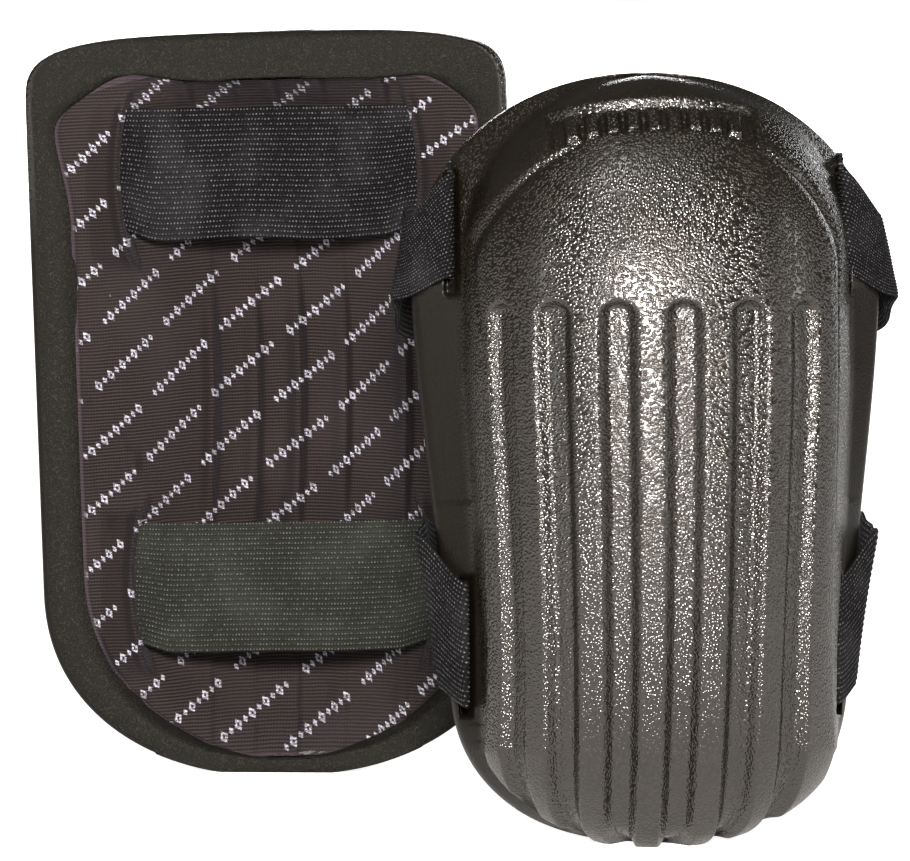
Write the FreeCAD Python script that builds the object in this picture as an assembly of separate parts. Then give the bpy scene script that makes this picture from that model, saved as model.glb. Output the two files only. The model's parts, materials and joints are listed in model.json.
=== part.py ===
import FreeCAD, Part
import math
import os

# A pair of knee pads. Each pad is a moulded foam shell with a soft cushion and a knit lining inside,
# and two elastic straps that cross the cup, leave it through slots in the flange and loop round the leg.
# The pads stand on their lower ends: the right pad faces -Y and leans back a little, the left pad shows
# its leg side to -Y.
# Each pad is modelled in its own frame: X across, Z up, the rim that rests on the leg at y = 0 and the
# knee dome towards -Y. Lengths are in millimetres.

V = FreeCAD.Vector

# Foam shell
PAD_HEIGHT = 215.0
CUP_DEPTH = 62.0
CUP_HALF_WIDTH = 53.0
CUP_TAPER_START_Z = 130.0
CUP_TAPER = 0.055
CUP_BOXINESS = 2.6
DEEPEST_Z = 140.0
CUP_TOP_Z = 218.0
CUP_BOTTOM_Z = -10.0
CUP_TOP_CORNER_RADIUS = 38.0
CUP_BOTTOM_CORNER_RADIUS = 34.0
WALL_FRONT = 13.0
WALL_SIDE = 8.0
WALL_END = 12.0
FLANGE_THICKNESS = 8.0
FLANGE_EDGE_RADIUS = 2.5

# Ribs below the knee dome, and the recess above it
RIB_TOP_Z = 150.0
GROOVE_DEPTH = 2.8
GROOVES = ((9.3, 9.0), (26.0, 8.0), (40.0, 5.5))
RECESS_CENTRE_Z = 130.0
RECESS_INNER_RADIUS = 64.0
RECESS_OUTER_RADIUS = 74.0
RECESS_HALF_ANGLE = 24.0
RECESS_DEPTH = 1.4

# Cushion and lining
LINING_THICKNESS = 1.5
BOWL_DEPTH = 32.0
BOWL_HALF_WIDTH = 64.0
BOWL_CENTRE_Z = 104.0
BOWL_HALF_HEIGHT = 100.0
FABRIC_GAP = 0.25

# Straps
STRAP_WIDTH = 38.0
STRAP_THICKNESS = 1.6
STRAP_PATH_Y = -3.8
UPPER_STRAP_Z = 173.0
LOWER_STRAP_Z = 55.0
SLOT_WIDTH = 3.0
SLOT_GAP = 0.3
PASSAGE_GAP = 0.4
BEND_RADIUS = 1.5
JOINT_GAP = 0.4
WORN_LOOP_DEPTH = 58.0
FLIPPED_LOOP_DEPTH = 71.0
LOOP_CORNER_RADIUS = 24.0
WORN_SWING = 30.0
FLIPPED_SWING = 45.0

# Hook-and-loop closure
PATCH_START = -26.0
PATCH_END = 18.0
PATCH_HALF_WIDTH = 17.5
PATCH_THICKNESS = 1.2
TAB_FREE_END = -27.0
TAB_ROOT = 32.0
TAB_WIDTH = 37.0
CLOSURE_GAP = 0.15
STITCH_LENGTH = 2.2
STITCH_PITCH = 3.6
STITCH_SECTION = 0.6
STITCH_INSETS = (3.0, 6.0)

# Where the pads stand. The shift puts the origin under the middle of the pair, on the ground.
PAD_HALF_SPACING = 51.0
PAD_HALF_DEPTH_SPACING = 65.0
GROUP_SHIFT = V(3.74, -14.41, -1.99)
RIGHT_TURN = 4.0
RIGHT_TILT = -7.0
LEFT_TURN = 176.0
LEFT_LEAN = -2.0

# What differs between the pads: the worn pad is bent narrower by its straps, the other one lies relaxed.
# Outline corners are (x, z, radius) for the +X half, from the bottom centre up.
RIGHT_PAD = {
    "name": "right",
    "outline": ((51.5, 5.0, 34.0), (66.0, 150.0, 90.0), (66.0, PAD_HEIGHT, 50.0)),
    "flipped": False,
    "upper_rest": -18.0,
    "lower_rest": 18.0,
}
LEFT_PAD = {
    "name": "left",
    "outline": ((66.0, 2.0, 44.0), (69.5, 80.0, 200.0), (68.0, PAD_HEIGHT, 24.0)),
    "flipped": True,
    "upper_rest": 8.0,
    "lower_rest": -24.0,
}


def tangent_path(points, radii, closed):
    """A wire of straight lines whose corners are rounded by tangent arcs."""
    count = len(points)
    corners = range(count) if closed else range(1, count - 1)
    edges = []
    ends = {}
    for i in corners:
        here = points[i]
        back = (points[i - 1] - here).normalize()
        ahead = (points[(i + 1) % count] - here).normalize()
        half = back.getAngle(ahead) / 2.0
        reach = radii[i] / math.tan(half)
        middle = here + (back + ahead).normalize() * (radii[i] / math.sin(half) - radii[i])
        ends[i] = (here + back * reach, here + ahead * reach)
        edges.append(Part.Arc(ends[i][0], middle, ends[i][1]).toShape())
    last = count if closed else count - 1
    for i in range(last):
        start = ends[i][1] if i in ends else points[i]
        end = ends[(i + 1) % count][0] if (i + 1) % count in ends else points[(i + 1) % count]
        if (end - start).Length > 1e-6:
            edges.append(Part.makeLine(start, end))
    return Part.Wire(Part.__sortEdges__(edges))


def outline_prism(half_corners, grow, back, front):
    """A slab between two Y planes whose front view is a symmetric rounded outline."""
    right = [(x + grow, z + (grow if z > PAD_HEIGHT / 2 else -grow), r) for x, z, r in half_corners]
    ring = right + [(-x, z, r) for x, z, r in reversed(right)]
    points = [V(x, back, z) for x, z, r in ring]
    wire = tangent_path(points, [r for x, z, r in ring], True)
    return Part.Face(wire).extrude(V(0, front - back, 0))


def cup_half_width(z):
    """Half the width of the cup, which narrows below the knee."""
    return CUP_HALF_WIDTH - CUP_TAPER * max(0.0, CUP_TAPER_START_Z - z)


def cup_profile(z, low, high):
    """Depth of the cup at height z, as a share of its full depth."""
    if z > DEEPEST_Z:
        return math.sqrt(1.0 - ((z - DEEPEST_Z) / (high - DEEPEST_Z)) ** 2.4)
    return math.sqrt(1.0 - ((DEEPEST_Z - z) / (DEEPEST_Z - low)) ** 3.0)


def cup_section(z, half_width, depth):
    """A D-shaped level section of the cup, flat along y = 0."""
    steps = 14
    points = []
    for i in range(steps + 1):
        a = math.pi * i / steps
        x = math.copysign(abs(math.cos(a)) ** (2.0 / CUP_BOXINESS), math.cos(a)) * half_width
        points.append(V(x, -depth * abs(math.sin(a)) ** (2.0 / CUP_BOXINESS), z))
    curve = Part.BSplineCurve()
    curve.interpolate(points)
    return Part.Wire([curve.toShape(), Part.makeLine(points[-1], points[0])])


def cup_solid(side, front, low, high, first, last):
    """The cup's form, inset by side and front, between two heights."""
    sections = []
    count = 13
    for i in range(count):
        z = first + (last - first) * i / (count - 1)
        depth = (CUP_DEPTH - front) * cup_profile(z, low, high)
        sections.append(cup_section(z, cup_half_width(z) - side, depth))
    return Part.makeLoft(sections, True)


def outer_form(inset):
    """The cup's outside, or the same surface moved inwards."""
    return cup_solid(inset, inset, CUP_BOTTOM_Z, CUP_TOP_Z, -4.0, 216.5)


def cavity_form(gap):
    """The hollow that holds the cushion, less a gap all round."""
    low = CUP_BOTTOM_Z + WALL_END
    high = CUP_TOP_Z - WALL_END
    hollow = cup_solid(WALL_SIDE + gap, WALL_FRONT + gap, low, high, low + 5.0 + gap, high - 2.0 - gap)
    corners = ((cup_half_width(0.0) - WALL_SIDE, WALL_SIDE, CUP_BOTTOM_CORNER_RADIUS - WALL_SIDE),
               (CUP_HALF_WIDTH - WALL_SIDE + 1.0, PAD_HEIGHT - WALL_END, CUP_TOP_CORNER_RADIUS - WALL_SIDE))
    return hollow.common(outline_prism(corners, -gap, 1.0, -CUP_DEPTH))


def bowl_section(z, offset):
    """A level section through the space above the lining's curved face."""
    steps = 16
    depth = BOWL_DEPTH * (1.0 - min(abs(z - BOWL_CENTRE_Z) / BOWL_HALF_HEIGHT, 1.0) ** 8)
    points = []
    for i in range(steps + 1):
        x = BOWL_HALF_WIDTH * (2.0 * i / steps - 1.0)
        fall = depth * (1.0 + math.cos(math.pi * x / BOWL_HALF_WIDTH)) / 2.0
        points.append(V(x, -offset - fall, z))
    curve = Part.BSplineCurve()
    curve.interpolate(points)
    above = [V(BOWL_HALF_WIDTH, 5.0, z), V(-BOWL_HALF_WIDTH, 5.0, z)]
    sides = [Part.makeLine(points[-1], above[0]), Part.makeLine(*above), Part.makeLine(above[1], points[0])]
    return Part.Wire([curve.toShape()] + sides)


def bowl_space(offset, pad, grow):
    """Everything on the leg's side of the lining's face, inside the lining's outline."""
    reach = BOWL_HALF_HEIGHT + 6.0
    count = 17
    sections = []
    for i in range(count):
        a = math.pi * (i / (count - 1.0) - 0.5)
        sections.append(bowl_section(BOWL_CENTRE_Z + reach * math.sin(a), offset))
    return Part.makeLoft(sections, True).common(lining_outline(pad, grow))


def lining_outline(pad, grow):
    """The lining's edge, a steady step inside the rim."""
    shrink = 11.5 if pad["flipped"] else 9.5
    corners = [(x - shrink, z - shrink if z > 100 else z + 6.0, max(r - 8.0, 12.0))
               for x, z, r in pad["outline"]]
    return outline_prism(corners, grow, -40.0, 6.0)


def strap_box(half_x, y_low, y_high, z_centre, gap):
    """A flat passage for one strap."""
    width = STRAP_WIDTH + 2.0 * gap
    corner = V(-half_x, y_low, z_centre - width / 2.0)
    return Part.makeBox(2.0 * half_x, y_high - y_low, width, corner)


def slot_x(z_centre):
    """Middle of the flange slot for the strap centred at this height."""
    return cup_half_width(z_centre + STRAP_WIDTH / 2.0) + SLOT_GAP + SLOT_WIDTH / 2.0


def strap_passages():
    """The flat passages under the lining that the two straps run through."""
    half = STRAP_THICKNESS / 2.0 + PASSAGE_GAP
    boxes = []
    for z in (UPPER_STRAP_Z, LOWER_STRAP_Z):
        half_x = slot_x(z) + SLOT_WIDTH / 2.0
        boxes.append(strap_box(half_x, STRAP_PATH_Y - half, STRAP_PATH_Y + half, z, PASSAGE_GAP))
    return boxes


def flange_slots():
    """The four slots that let the straps out to the front of the flange."""
    slots = []
    for z in (UPPER_STRAP_Z, LOWER_STRAP_Z):
        for side in (-1.0, 1.0):
            x = side * slot_x(z) - SLOT_WIDTH / 2.0
            height = STRAP_WIDTH + 2.0 * PASSAGE_GAP
            corner = V(x, -FLANGE_THICKNESS - 6.0, z - height / 2.0)
            slots.append(Part.makeBox(SLOT_WIDTH, FLANGE_THICKNESS + 2.5, height, corner))
    return slots


def rib_grooves():
    """Upright bars that cut the grooves between the seven ribs."""
    bars = []
    for centre, width in GROOVES:
        for side in (-1.0, 1.0):
            corner = V(side * centre - width / 2.0, -CUP_DEPTH - 5.0, -5.0)
            bars.append(Part.makeBox(width, CUP_DEPTH - 10.0, RIB_TOP_Z + 5.0, corner))
    return bars


def recess_bar():
    """An arched bar that cuts the shallow recess above the dome."""
    ring = Part.makeCylinder(RECESS_OUTER_RADIUS, 60.0, V(0, -5.0, RECESS_CENTRE_Z), V(0, -1, 0))
    core = Part.makeCylinder(RECESS_INNER_RADIUS, 60.0, V(0, -5.0, RECESS_CENTRE_Z), V(0, -1, 0))
    reach = 2.0 * RECESS_OUTER_RADIUS
    spread = reach * math.tan(math.radians(RECESS_HALF_ANGLE))
    corners = [V(0, -5.0, RECESS_CENTRE_Z), V(spread, -5.0, RECESS_CENTRE_Z + reach),
               V(-spread, -5.0, RECESS_CENTRE_Z + reach)]
    wedge = Part.Face(Part.makePolygon(corners + corners[:1])).extrude(V(0, -60.0, 0))
    return ring.cut(core).common(wedge)


def make_shell(pad):
    """The moulded foam shell: ribbed cup, knee dome, flange, slots and hollow."""
    flange = outline_prism(pad["outline"], 0.0, 0.0, -FLANGE_THICKNESS)
    rim_edges = [e for e in flange.Edges if abs(e.BoundBox.YLength) < 0.01]
    flange = flange.makeFillet(FLANGE_EDGE_RADIUS, rim_edges)
    outside = outer_form(0.0)
    cup_corners = ((cup_half_width(0.0), 2.0, CUP_BOTTOM_CORNER_RADIUS),
                   (CUP_HALF_WIDTH + 1.0, PAD_HEIGHT - 1.0, CUP_TOP_CORNER_RADIUS))
    cup = outside.common(outline_prism(cup_corners, 0.0, 1.0, -CUP_DEPTH - 5.0))
    cup = cup.cut(outside.cut(outer_form(GROOVE_DEPTH)).common(Part.makeCompound(rib_grooves())))
    cup = cup.cut(outside.cut(outer_form(RECESS_DEPTH)).common(recess_bar()))
    shell = flange.fuse(cup)
    hollow = bowl_space(LINING_THICKNESS + FABRIC_GAP, pad, FABRIC_GAP)
    for tool in [cavity_form(0.0), hollow] + strap_passages() + flange_slots():
        shell = shell.cut(tool)
    return shell


def make_cushion(pad):
    """Soft foam that fills the hollow behind the lining."""
    cushion = cavity_form(FABRIC_GAP).cut(bowl_space(LINING_THICKNESS + FABRIC_GAP, pad, FABRIC_GAP))
    for tool in strap_passages():
        cushion = cushion.cut(tool)
    return cushion


def make_lining(pad):
    """Knit fabric over the cushion, open where the straps dive under it."""
    lining = bowl_space(LINING_THICKNESS, pad, 0.0).cut(bowl_space(0.0, pad, 5.0))
    for tool in strap_passages():
        lining = lining.cut(tool)
    return lining


def ribbon(points, radii, z_centre, width):
    """Webbing of even thickness that stands on edge along a path in plan view."""
    path = tangent_path([V(x, y, 0) for x, y in points], radii, False)
    sheet = path.extrude(V(0, 0, width))
    sheet.translate(V(0, 0, z_centre - width / 2.0))
    half = STRAP_THICKNESS / 2.0
    return sheet.makeOffsetShape(-half, 1e-4, fill=False).makeOffsetShape(STRAP_THICKNESS, 1e-4, fill=True)


def mirrored(points):
    """A path's left half followed by its right half."""
    return points + [(-x, y) for x, y in reversed(points)]


def flange_edge_x(pad, z_centre):
    """The furthest reach of the flange over one strap's width."""
    slab = Part.makeBox(200.0, 4.0, STRAP_WIDTH, V(-100.0, -6.0, z_centre - STRAP_WIDTH / 2.0))
    return outline_prism(pad["outline"], 0.0, 0.0, -FLANGE_THICKNESS).common(slab).BoundBox.XMax


def wrap_x(pad, z_centre):
    """Middle of the webbing where it turns round the flange edge."""
    return flange_edge_x(pad, z_centre) + STRAP_THICKNESS / 2.0 + JOINT_GAP


def front_y():
    """Middle of the webbing where it lies on the front of the flange."""
    return -FLANGE_THICKNESS - STRAP_THICKNESS / 2.0 - JOINT_GAP


def hinge_y(pad):
    """Depth of the line about which a leg loop swings."""
    return front_y() - 1.0 if pad["flipped"] else 1.0


def make_inner_band(pad, z_centre):
    """The strap's inner run: across the cup, under the lining and out through both slots."""
    half = [(-slot_x(z_centre), front_y() - (0.6 if pad["flipped"] else 0.0)),
            (-slot_x(z_centre), STRAP_PATH_Y)]
    radii = [0.0, BEND_RADIUS]
    if not pad["flipped"]:
        half = [(-wrap_x(pad, z_centre), hinge_y(pad)), (-wrap_x(pad, z_centre), front_y())] + half
        radii = [0.0, BEND_RADIUS, BEND_RADIUS, BEND_RADIUS]
    points = mirrored(half)
    return ribbon(points, radii + radii[::-1], z_centre, STRAP_WIDTH)


def loop_path(pad, z_centre):
    """Plan view of the part that goes round the leg, or round the dome when it is flipped forward."""
    if pad["flipped"]:
        x = slot_x(z_centre)
        return mirrored([(-x, hinge_y(pad)), (-x - 9.0, -46.0), (-46.0, -FLIPPED_LOOP_DEPTH)])
    x = wrap_x(pad, z_centre)
    return mirrored([(-x, hinge_y(pad)), (-x - 2.0, 30.0), (-44.0, WORN_LOOP_DEPTH)])


def clearance_wedge(pad, z_centre):
    """The part of a loop next to the flange that has to be free for the loop to swing."""
    away = -1.0 if pad["flipped"] else 1.0
    swing = FLIPPED_SWING if pad["flipped"] else WORN_SWING
    rise = STRAP_WIDTH
    run = away * (rise * math.tan(math.radians(swing)))
    y = hinge_y(pad) + away * JOINT_GAP
    corners = [V(-150, y, z_centre), V(-150, y + run, z_centre + rise), V(-150, y - away * 20.0, z_centre + rise),
               V(-150, y - away * 20.0, z_centre - rise), V(-150, y + run, z_centre - rise)]
    return Part.Face(Part.makePolygon(corners + corners[:1])).extrude(V(300, 0, 0))


def swing_to_rest(shape, pad, strap, z_centre):
    """Turn a loop and what is fixed to it to the angle at which it hangs."""
    angle = pad[strap + "_rest"]
    turn = angle if not pad["flipped"] else -angle
    shape.rotate(V(0, hinge_y(pad), z_centre), V(1, 0, 0), turn)
    return shape


def make_leg_band(pad, z_centre):
    """The elastic loop outside the shell."""
    points = loop_path(pad, z_centre)
    loop = ribbon(points, [LOOP_CORNER_RADIUS] * len(points), z_centre, STRAP_WIDTH)
    return loop.cut(clearance_wedge(pad, z_centre))


def closure_side(pad):
    """Outer face of the loop's flat run and the direction away from it."""
    if pad["flipped"]:
        return -FLIPPED_LOOP_DEPTH - STRAP_THICKNESS / 2.0, -1.0
    return WORN_LOOP_DEPTH + STRAP_THICKNESS / 2.0, 1.0


def flat_box(x_ends, y_near, away, thickness, z_centre, half_width):
    """A thin upright plate between two X positions that starts at y_near and grows away from the loop."""
    y_low = min(y_near, y_near + away * thickness)
    corner = V(min(x_ends), y_low, z_centre - half_width)
    return Part.makeBox(max(x_ends) - min(x_ends), thickness, 2.0 * half_width, corner)


def make_loop_patch(pad, z_centre):
    """Soft loop material sewn on the leg band."""
    face, away = closure_side(pad)
    ends = (away * PATCH_START, away * PATCH_END)
    return flat_box(ends, face, away, PATCH_THICKNESS, z_centre, PATCH_HALF_WIDTH)


def tab_levels(pad):
    """Middle of the tab over the patch, and at its root beside the patch."""
    face, away = closure_side(pad)
    root = face + away * (CLOSURE_GAP + STRAP_THICKNESS / 2.0)
    return root + away * (PATCH_THICKNESS), root, away


def make_hook_tab(pad, z_centre):
    """The strap's squared end, with the hook material, lying on the patch."""
    over, root, away = tab_levels(pad)
    points = [(away * TAB_FREE_END, over), (away * (TAB_ROOT - 12.0), over),
              (away * (TAB_ROOT - 6.0), root), (away * TAB_ROOT, root)]
    return ribbon(points, [4.0] * 4, z_centre, TAB_WIDTH)


def make_tab_stitching(pad, z_centre):
    """Two rows of thread across the tab near its free end."""
    over, root, away = tab_levels(pad)
    y = over + away * STRAP_THICKNESS / 2.0
    stitches = []
    count = int((TAB_WIDTH - 4.0) // STITCH_PITCH)
    for inset in STITCH_INSETS:
        for i in range(count):
            z = z_centre + (i - (count - 1) / 2.0) * STITCH_PITCH
            x = away * (TAB_FREE_END + inset)
            ends = (x - STITCH_SECTION / 2.0, x + STITCH_SECTION / 2.0)
            stitches.append(flat_box(ends, y, away, STITCH_SECTION / 2.0, z, STITCH_LENGTH / 2.0))
    return Part.makeCompound(stitches)


def stand(shape, pad):
    """Move a finished piece from its pad's own frame to where the pad stands."""
    if pad["flipped"]:
        shape.rotate(V(0, 0, 0), V(0, 1, 0), -LEFT_LEAN)
        shape.rotate(V(0, 0, 0), V(0, 0, 1), LEFT_TURN)
        shape.translate(GROUP_SHIFT + V(-PAD_HALF_SPACING, PAD_HALF_DEPTH_SPACING, 1.0))
    else:
        shape.rotate(V(0, 0, 0), V(1, 0, 0), RIGHT_TILT)
        shape.rotate(V(0, 0, 0), V(0, 0, 1), RIGHT_TURN)
        shape.translate(GROUP_SHIFT + V(PAD_HALF_SPACING, -PAD_HALF_DEPTH_SPACING, 0.0))
    return shape


def pad_pieces(pad):
    """Every piece of one pad, by node name."""
    pieces = {"shell": make_shell(pad), "cushion": make_cushion(pad), "lining": make_lining(pad)}
    for strap, z in (("upper", UPPER_STRAP_Z), ("lower", LOWER_STRAP_Z)):
        pieces[strap + "_inner_band"] = make_inner_band(pad, z)
        moving = {"leg_band": make_leg_band(pad, z), "loop_patch": make_loop_patch(pad, z),
                  "hook_tab": make_hook_tab(pad, z), "tab_stitching": make_tab_stitching(pad, z)}
        for name, shape in moving.items():
            pieces[strap + "_" + name] = swing_to_rest(shape, pad, strap, z)
    return pieces


os.makedirs("parts", exist_ok=True)
for pad in (RIGHT_PAD, LEFT_PAD):
    for name, shape in pad_pieces(pad).items():
        node = pad["name"] + "_" + name
        stand(shape, pad).exportStep("parts/" + node + ".step")
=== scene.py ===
import json
import math

import bmesh
import bpy
import numpy as np
from mathutils import Matrix, Vector
from mathutils.kdtree import KDTree


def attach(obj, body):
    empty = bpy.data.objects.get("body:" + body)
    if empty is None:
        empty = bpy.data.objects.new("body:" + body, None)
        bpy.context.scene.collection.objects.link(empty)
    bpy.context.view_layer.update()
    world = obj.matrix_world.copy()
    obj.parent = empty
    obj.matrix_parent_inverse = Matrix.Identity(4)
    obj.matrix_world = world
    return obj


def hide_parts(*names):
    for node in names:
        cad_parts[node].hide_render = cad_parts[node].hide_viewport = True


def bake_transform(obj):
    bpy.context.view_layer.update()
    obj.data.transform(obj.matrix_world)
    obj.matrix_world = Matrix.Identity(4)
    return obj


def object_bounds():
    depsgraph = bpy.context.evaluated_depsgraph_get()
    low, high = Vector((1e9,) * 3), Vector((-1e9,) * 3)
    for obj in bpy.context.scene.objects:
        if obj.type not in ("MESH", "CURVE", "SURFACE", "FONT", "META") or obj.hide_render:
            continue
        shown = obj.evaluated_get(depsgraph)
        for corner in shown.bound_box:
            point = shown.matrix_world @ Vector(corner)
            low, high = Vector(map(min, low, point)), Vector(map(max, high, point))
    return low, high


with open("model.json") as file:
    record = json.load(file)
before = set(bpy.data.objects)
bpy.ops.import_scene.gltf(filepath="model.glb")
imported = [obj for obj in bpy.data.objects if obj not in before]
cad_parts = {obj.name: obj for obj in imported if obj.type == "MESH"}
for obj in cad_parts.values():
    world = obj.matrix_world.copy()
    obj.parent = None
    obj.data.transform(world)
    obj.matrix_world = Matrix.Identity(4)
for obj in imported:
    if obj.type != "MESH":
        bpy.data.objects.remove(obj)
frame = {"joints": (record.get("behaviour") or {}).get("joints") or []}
CAD_BOX = [list(corner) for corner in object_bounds()]
JOINTS = {joint["name"]: joint for joint in frame["joints"]}

# A pair of foam knee pads. Each pad is built in its own frame, in millimetres: X across, Z up, the rim's
# back plane at y = 0 and the knee dome towards -Y. Joint positions from the frame say where that frame is.
# Angles are in degrees.
MM = 0.001
STRAPS = ("upper", "lower")

# Outlines. A half width grows from foot to top between two heights. Each rounded end is given by the z of
# its tip, its height and its boxiness, where 2 is an ellipse.
HEIGHT = 215.0
RIM = {
    "right": {"widths": (55.5, 66.0), "grows": (30.0, 168.0),
              "foot": (0.0, 45.0, 2.25), "top": (HEIGHT, 58.0, 2.1)},
    "left": {"widths": (69.3, 69.3), "grows": (30.0, 168.0),
             "foot": (0.0, 55.0, 2.2), "top": (HEIGHT, 22.0, 4.0)},
}
LINING = {
    "right": {"widths": (49.0, 57.5), "grows": (20.0, 150.0),
              "foot": (7.0, 45.0, 2.2), "top": (204.0, 44.0, 2.3)},
    "left": {"widths": (57.3, 61.8), "grows": (160.0, 195.0),
             "foot": (5.0, 55.0, 2.1), "top": (204.0, 22.0, 3.0)},
}

# Cup and flange
CUP_DEPTH = 61.0
CUP_HALF_WIDTH = 55.0
CUP_ENDS = {"foot": (0.0, 26.0, 2.4), "top": (214.0, 54.0, 2.2)}
CUP_TAPER = 0.055
CUP_TAPER_TOP_Z = 130.0
CUP_BOXINESS = 2.45
CUP_SHIFT = {"right": 2.9, "left": 0.0}
DEEPEST_Z = 140.0
FOOT_DEPTH = 15.0
FRONT_EDGE_RADIUS = 4.0
BACK_EDGE_RADIUS = 3.0
BOWL_DEPTH = 32.0
BOWL_HALF_WIDTH = 64.0
BOWL_CENTRE_Z = 104.0
BOWL_HALF_HEIGHT = 100.0
SHELL_ROWS = {"right": 380, "left": 300}
SHELL_FRONT = 330
SHELL_BACK = 100
SECTION_FRONT = 600
SECTION_BACK = 300

# Knee dome, ribs and the recess over the dome
DOME_TILT = {"right": 0.05, "left": 0.0}
DOME_STEP = 1.9
CREASE_DEPTH = 1.2
CREASE_HALF_WIDTH = 54.0
CREASE_HEIGHT = 49.2
RIB_TOP_Z = 150.0
RIB_SHIFT = {"right": -3.0, "left": 0.0}
GROOVE_PITCH = 18.2
GROOVE_DEPTH = 3.1
GROOVE_FLOOR = 2.3
GROOVE_MOUTH = 6.1
RECESS_Z = 202.0
RECESS_DEPTH = 2.5
RECESS_HALF_LENGTH = 29.0
RECESS_HALF_HEIGHT = 4.9
BAR_COUNT = 9
BAR_RISE = 2.1
BAR_MARGIN = 3.0

# Straps
STRAP_Z = {"upper": 173.0, "lower": 55.0}
STRAP_WIDTH = 38.0
HALF_THICKNESS = 0.8
STRAP_COLUMNS = 105
WEAVE_PITCH = STRAP_WIDTH / 26.0
WEAVE_RIDGE = 0.13
SLOT_X = {"upper": 54.8, "lower": 51.5}
SLOT_HALF_GAP = 1.7
SLOT_DEPTH = 7.0
INNER_BAND_Y = -3.6
INNER_BAND_POINTS = 170
LEG_BAND_POINTS = 300
HINGE_Y = {"right": 1.0, "left": -10.2}
AWAY = {"right": 1.0, "left": -1.0}
LOOP_DEPTH = {"right": 58.0, "left": 71.0}
LOOP_ARC_Y = {"right": 8.0, "left": -22.0}
LOOP_BOXINESS = 2.7
LOOP_BULGE = 3.4
SWING_AT_REST = {("right", "upper"): -18.0, ("right", "lower"): 18.0,
                 ("left", "upper"): 8.0, ("left", "lower"): -24.0}
LEAN = {("right", "upper"): (-6.0, -15.0), ("right", "lower"): (13.0, 15.0),
        ("left", "upper"): (0.0, 0.0), ("left", "lower"): (0.0, 0.0)}
GATHERED = {("right", "upper"): 0.78, ("right", "lower"): 0.92,
            ("left", "upper"): 0.92, ("left", "lower"): 0.92}

# Closure, by place along the band from its middle
PATCH_SPAN = (-26.0, 18.0)
PATCH_WIDTH = 35.0
PATCH_THICKNESS = 1.15
TAB_SPAN = (-29.0, 32.0)
TAB_WIDTH = 37.0
TAB_ROWS = 64
TAB_BEND = (19.0, 27.0)
TAB_OVER_PATCH = 2.1
TAB_AT_ROOT = 0.95
TAB_TIP_LIFT = 1.0
THREAD_RADIUS = 0.26
STITCH_STEPS = 7
STITCH_SIDES = 6
STITCH_MARGIN = 0.07
END_ROWS = (-26.0, -22.5)
END_STITCHES = 11
SIDE_PLACES = (-21.0, -18.0, -15.0, -12.0, -9.0)
SIDE_STITCH = 2.0

# Lining, cushion and the cloth simulation. A pleat is its x, its width and its share of the height.
LINING_ROWS = 300
LINING_COLUMNS = 220
LINING_ENDS = {"right": (7.4, 203.6), "left": (5.4, 203.6)}
LINING_THICKNESS = 1.3
PLEATS = ((-35.0, 3.2, 1.0), (-16.5, 3.8, 0.8), (-3.0, 3.4, 1.0), (9.5, 3.6, 0.7), (21.5, 3.0, 0.9))
PLEAT_HEIGHT = 3.2
STRAP_MOUTH = 42.5
PADDING_THICKNESS = 9.0
SIM_STRIDE = 5
SIM_FRAMES = 20
SIM_VOXEL = 5.0 * MM
SIM_PRESSURE = 4.0
SIM_SHRINK = -0.06
SWELL_LIMIT = 1.8

# Printed motif of the lining
PRINT_SLOPE = 36.0
PRINT_ROW = 13.4
PRINT_STEP = 28.6
PRINT_HALF = 12.0
PRINT_BEAT = 2.4
KNIT_ROW = 0.95
KNIT_COLUMN = 0.9

# Camera and light. Lengths are in metres here, except for the sensor's width.
CAMERA_DISTANCE = 4.5
CAMERA_ELEVATION = 6.4
CAMERA_SHIFT_X = -0.0033
CAMERA_TARGET_Z = 0.1138
FRAME_WIDTH = 0.254
SENSOR_WIDTH = 36.0
FLOOR_SIZE = 30.0
WORLD_LIGHT = 0.08
FLOOR_GLOW = 0.90
FLOOR_LIGHT = 0.12
WHITE = (1.0, 1.0, 1.0)
# Name, place from the knee, size, power in watts and tint of each softbox
SOFTBOXES = (
    ("key", (-0.06, -2.0, 0.60), (0.36, 0.36), 122.0, (1.0, 0.93, 0.865)),
    ("left_strip", (-1.9, -1.1, 0.3), (0.25, 1.3), 7.0, WHITE),
    ("right_strip", (1.8, -0.3, 0.4), (0.3, 1.2), 8.0, WHITE),
    ("top_fill", (-0.25, -0.8, 1.7), (0.7, 0.7), 11.0, (1.0, 0.97, 0.93)),
    ("back_fill", (-0.4, 2.7, 0.15), (1.0, 0.8), 34.0, WHITE),
    ("back_side", (1.2, 2.2, 0.2), (0.4, 1.2), 8.0, WHITE),
)


def smooth(x, low, high):
    """A smooth step from 0 at low to 1 at high."""
    t = np.clip((x - low) / (high - low), 0.0, 1.0)
    return t * t * (3.0 - 2.0 * t)


def bell(x, width):
    """A soft peak of height 1 at zero."""
    return np.exp(-(x / width) ** 2)


# ---- pad frames

def pad_matrix(side):
    """Where a pad's own frame stands in the row frame, from the joints of its two leg loops."""
    upper = JOINTS[side + "_upper_loop_swing"]
    lower = JOINTS[side + "_lower_loop_swing"]
    top, bottom = Vector(upper["pos_m"]), Vector(lower["pos_m"])
    z_axis = (top - bottom).normalized()
    x_axis = Vector(lower["axis"]) * AWAY[side]
    y_axis = z_axis.cross(x_axis).normalized()
    x_axis = y_axis.cross(z_axis)
    origin = bottom - z_axis * (STRAP_Z["lower"] * MM) - y_axis * (HINGE_Y[side] * MM)
    turn = Matrix((x_axis, y_axis, z_axis)).transposed()
    return Matrix.Translation(origin) @ turn.to_4x4()


PAD = {side: pad_matrix(side) for side in ("right", "left")}


def to_row(points, side):
    """Pad points in millimetres, as points of the row frame in metres."""
    m = np.array(PAD[side])
    return np.asarray(points) * MM @ m[:3, :3].T + m[:3, 3]


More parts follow.
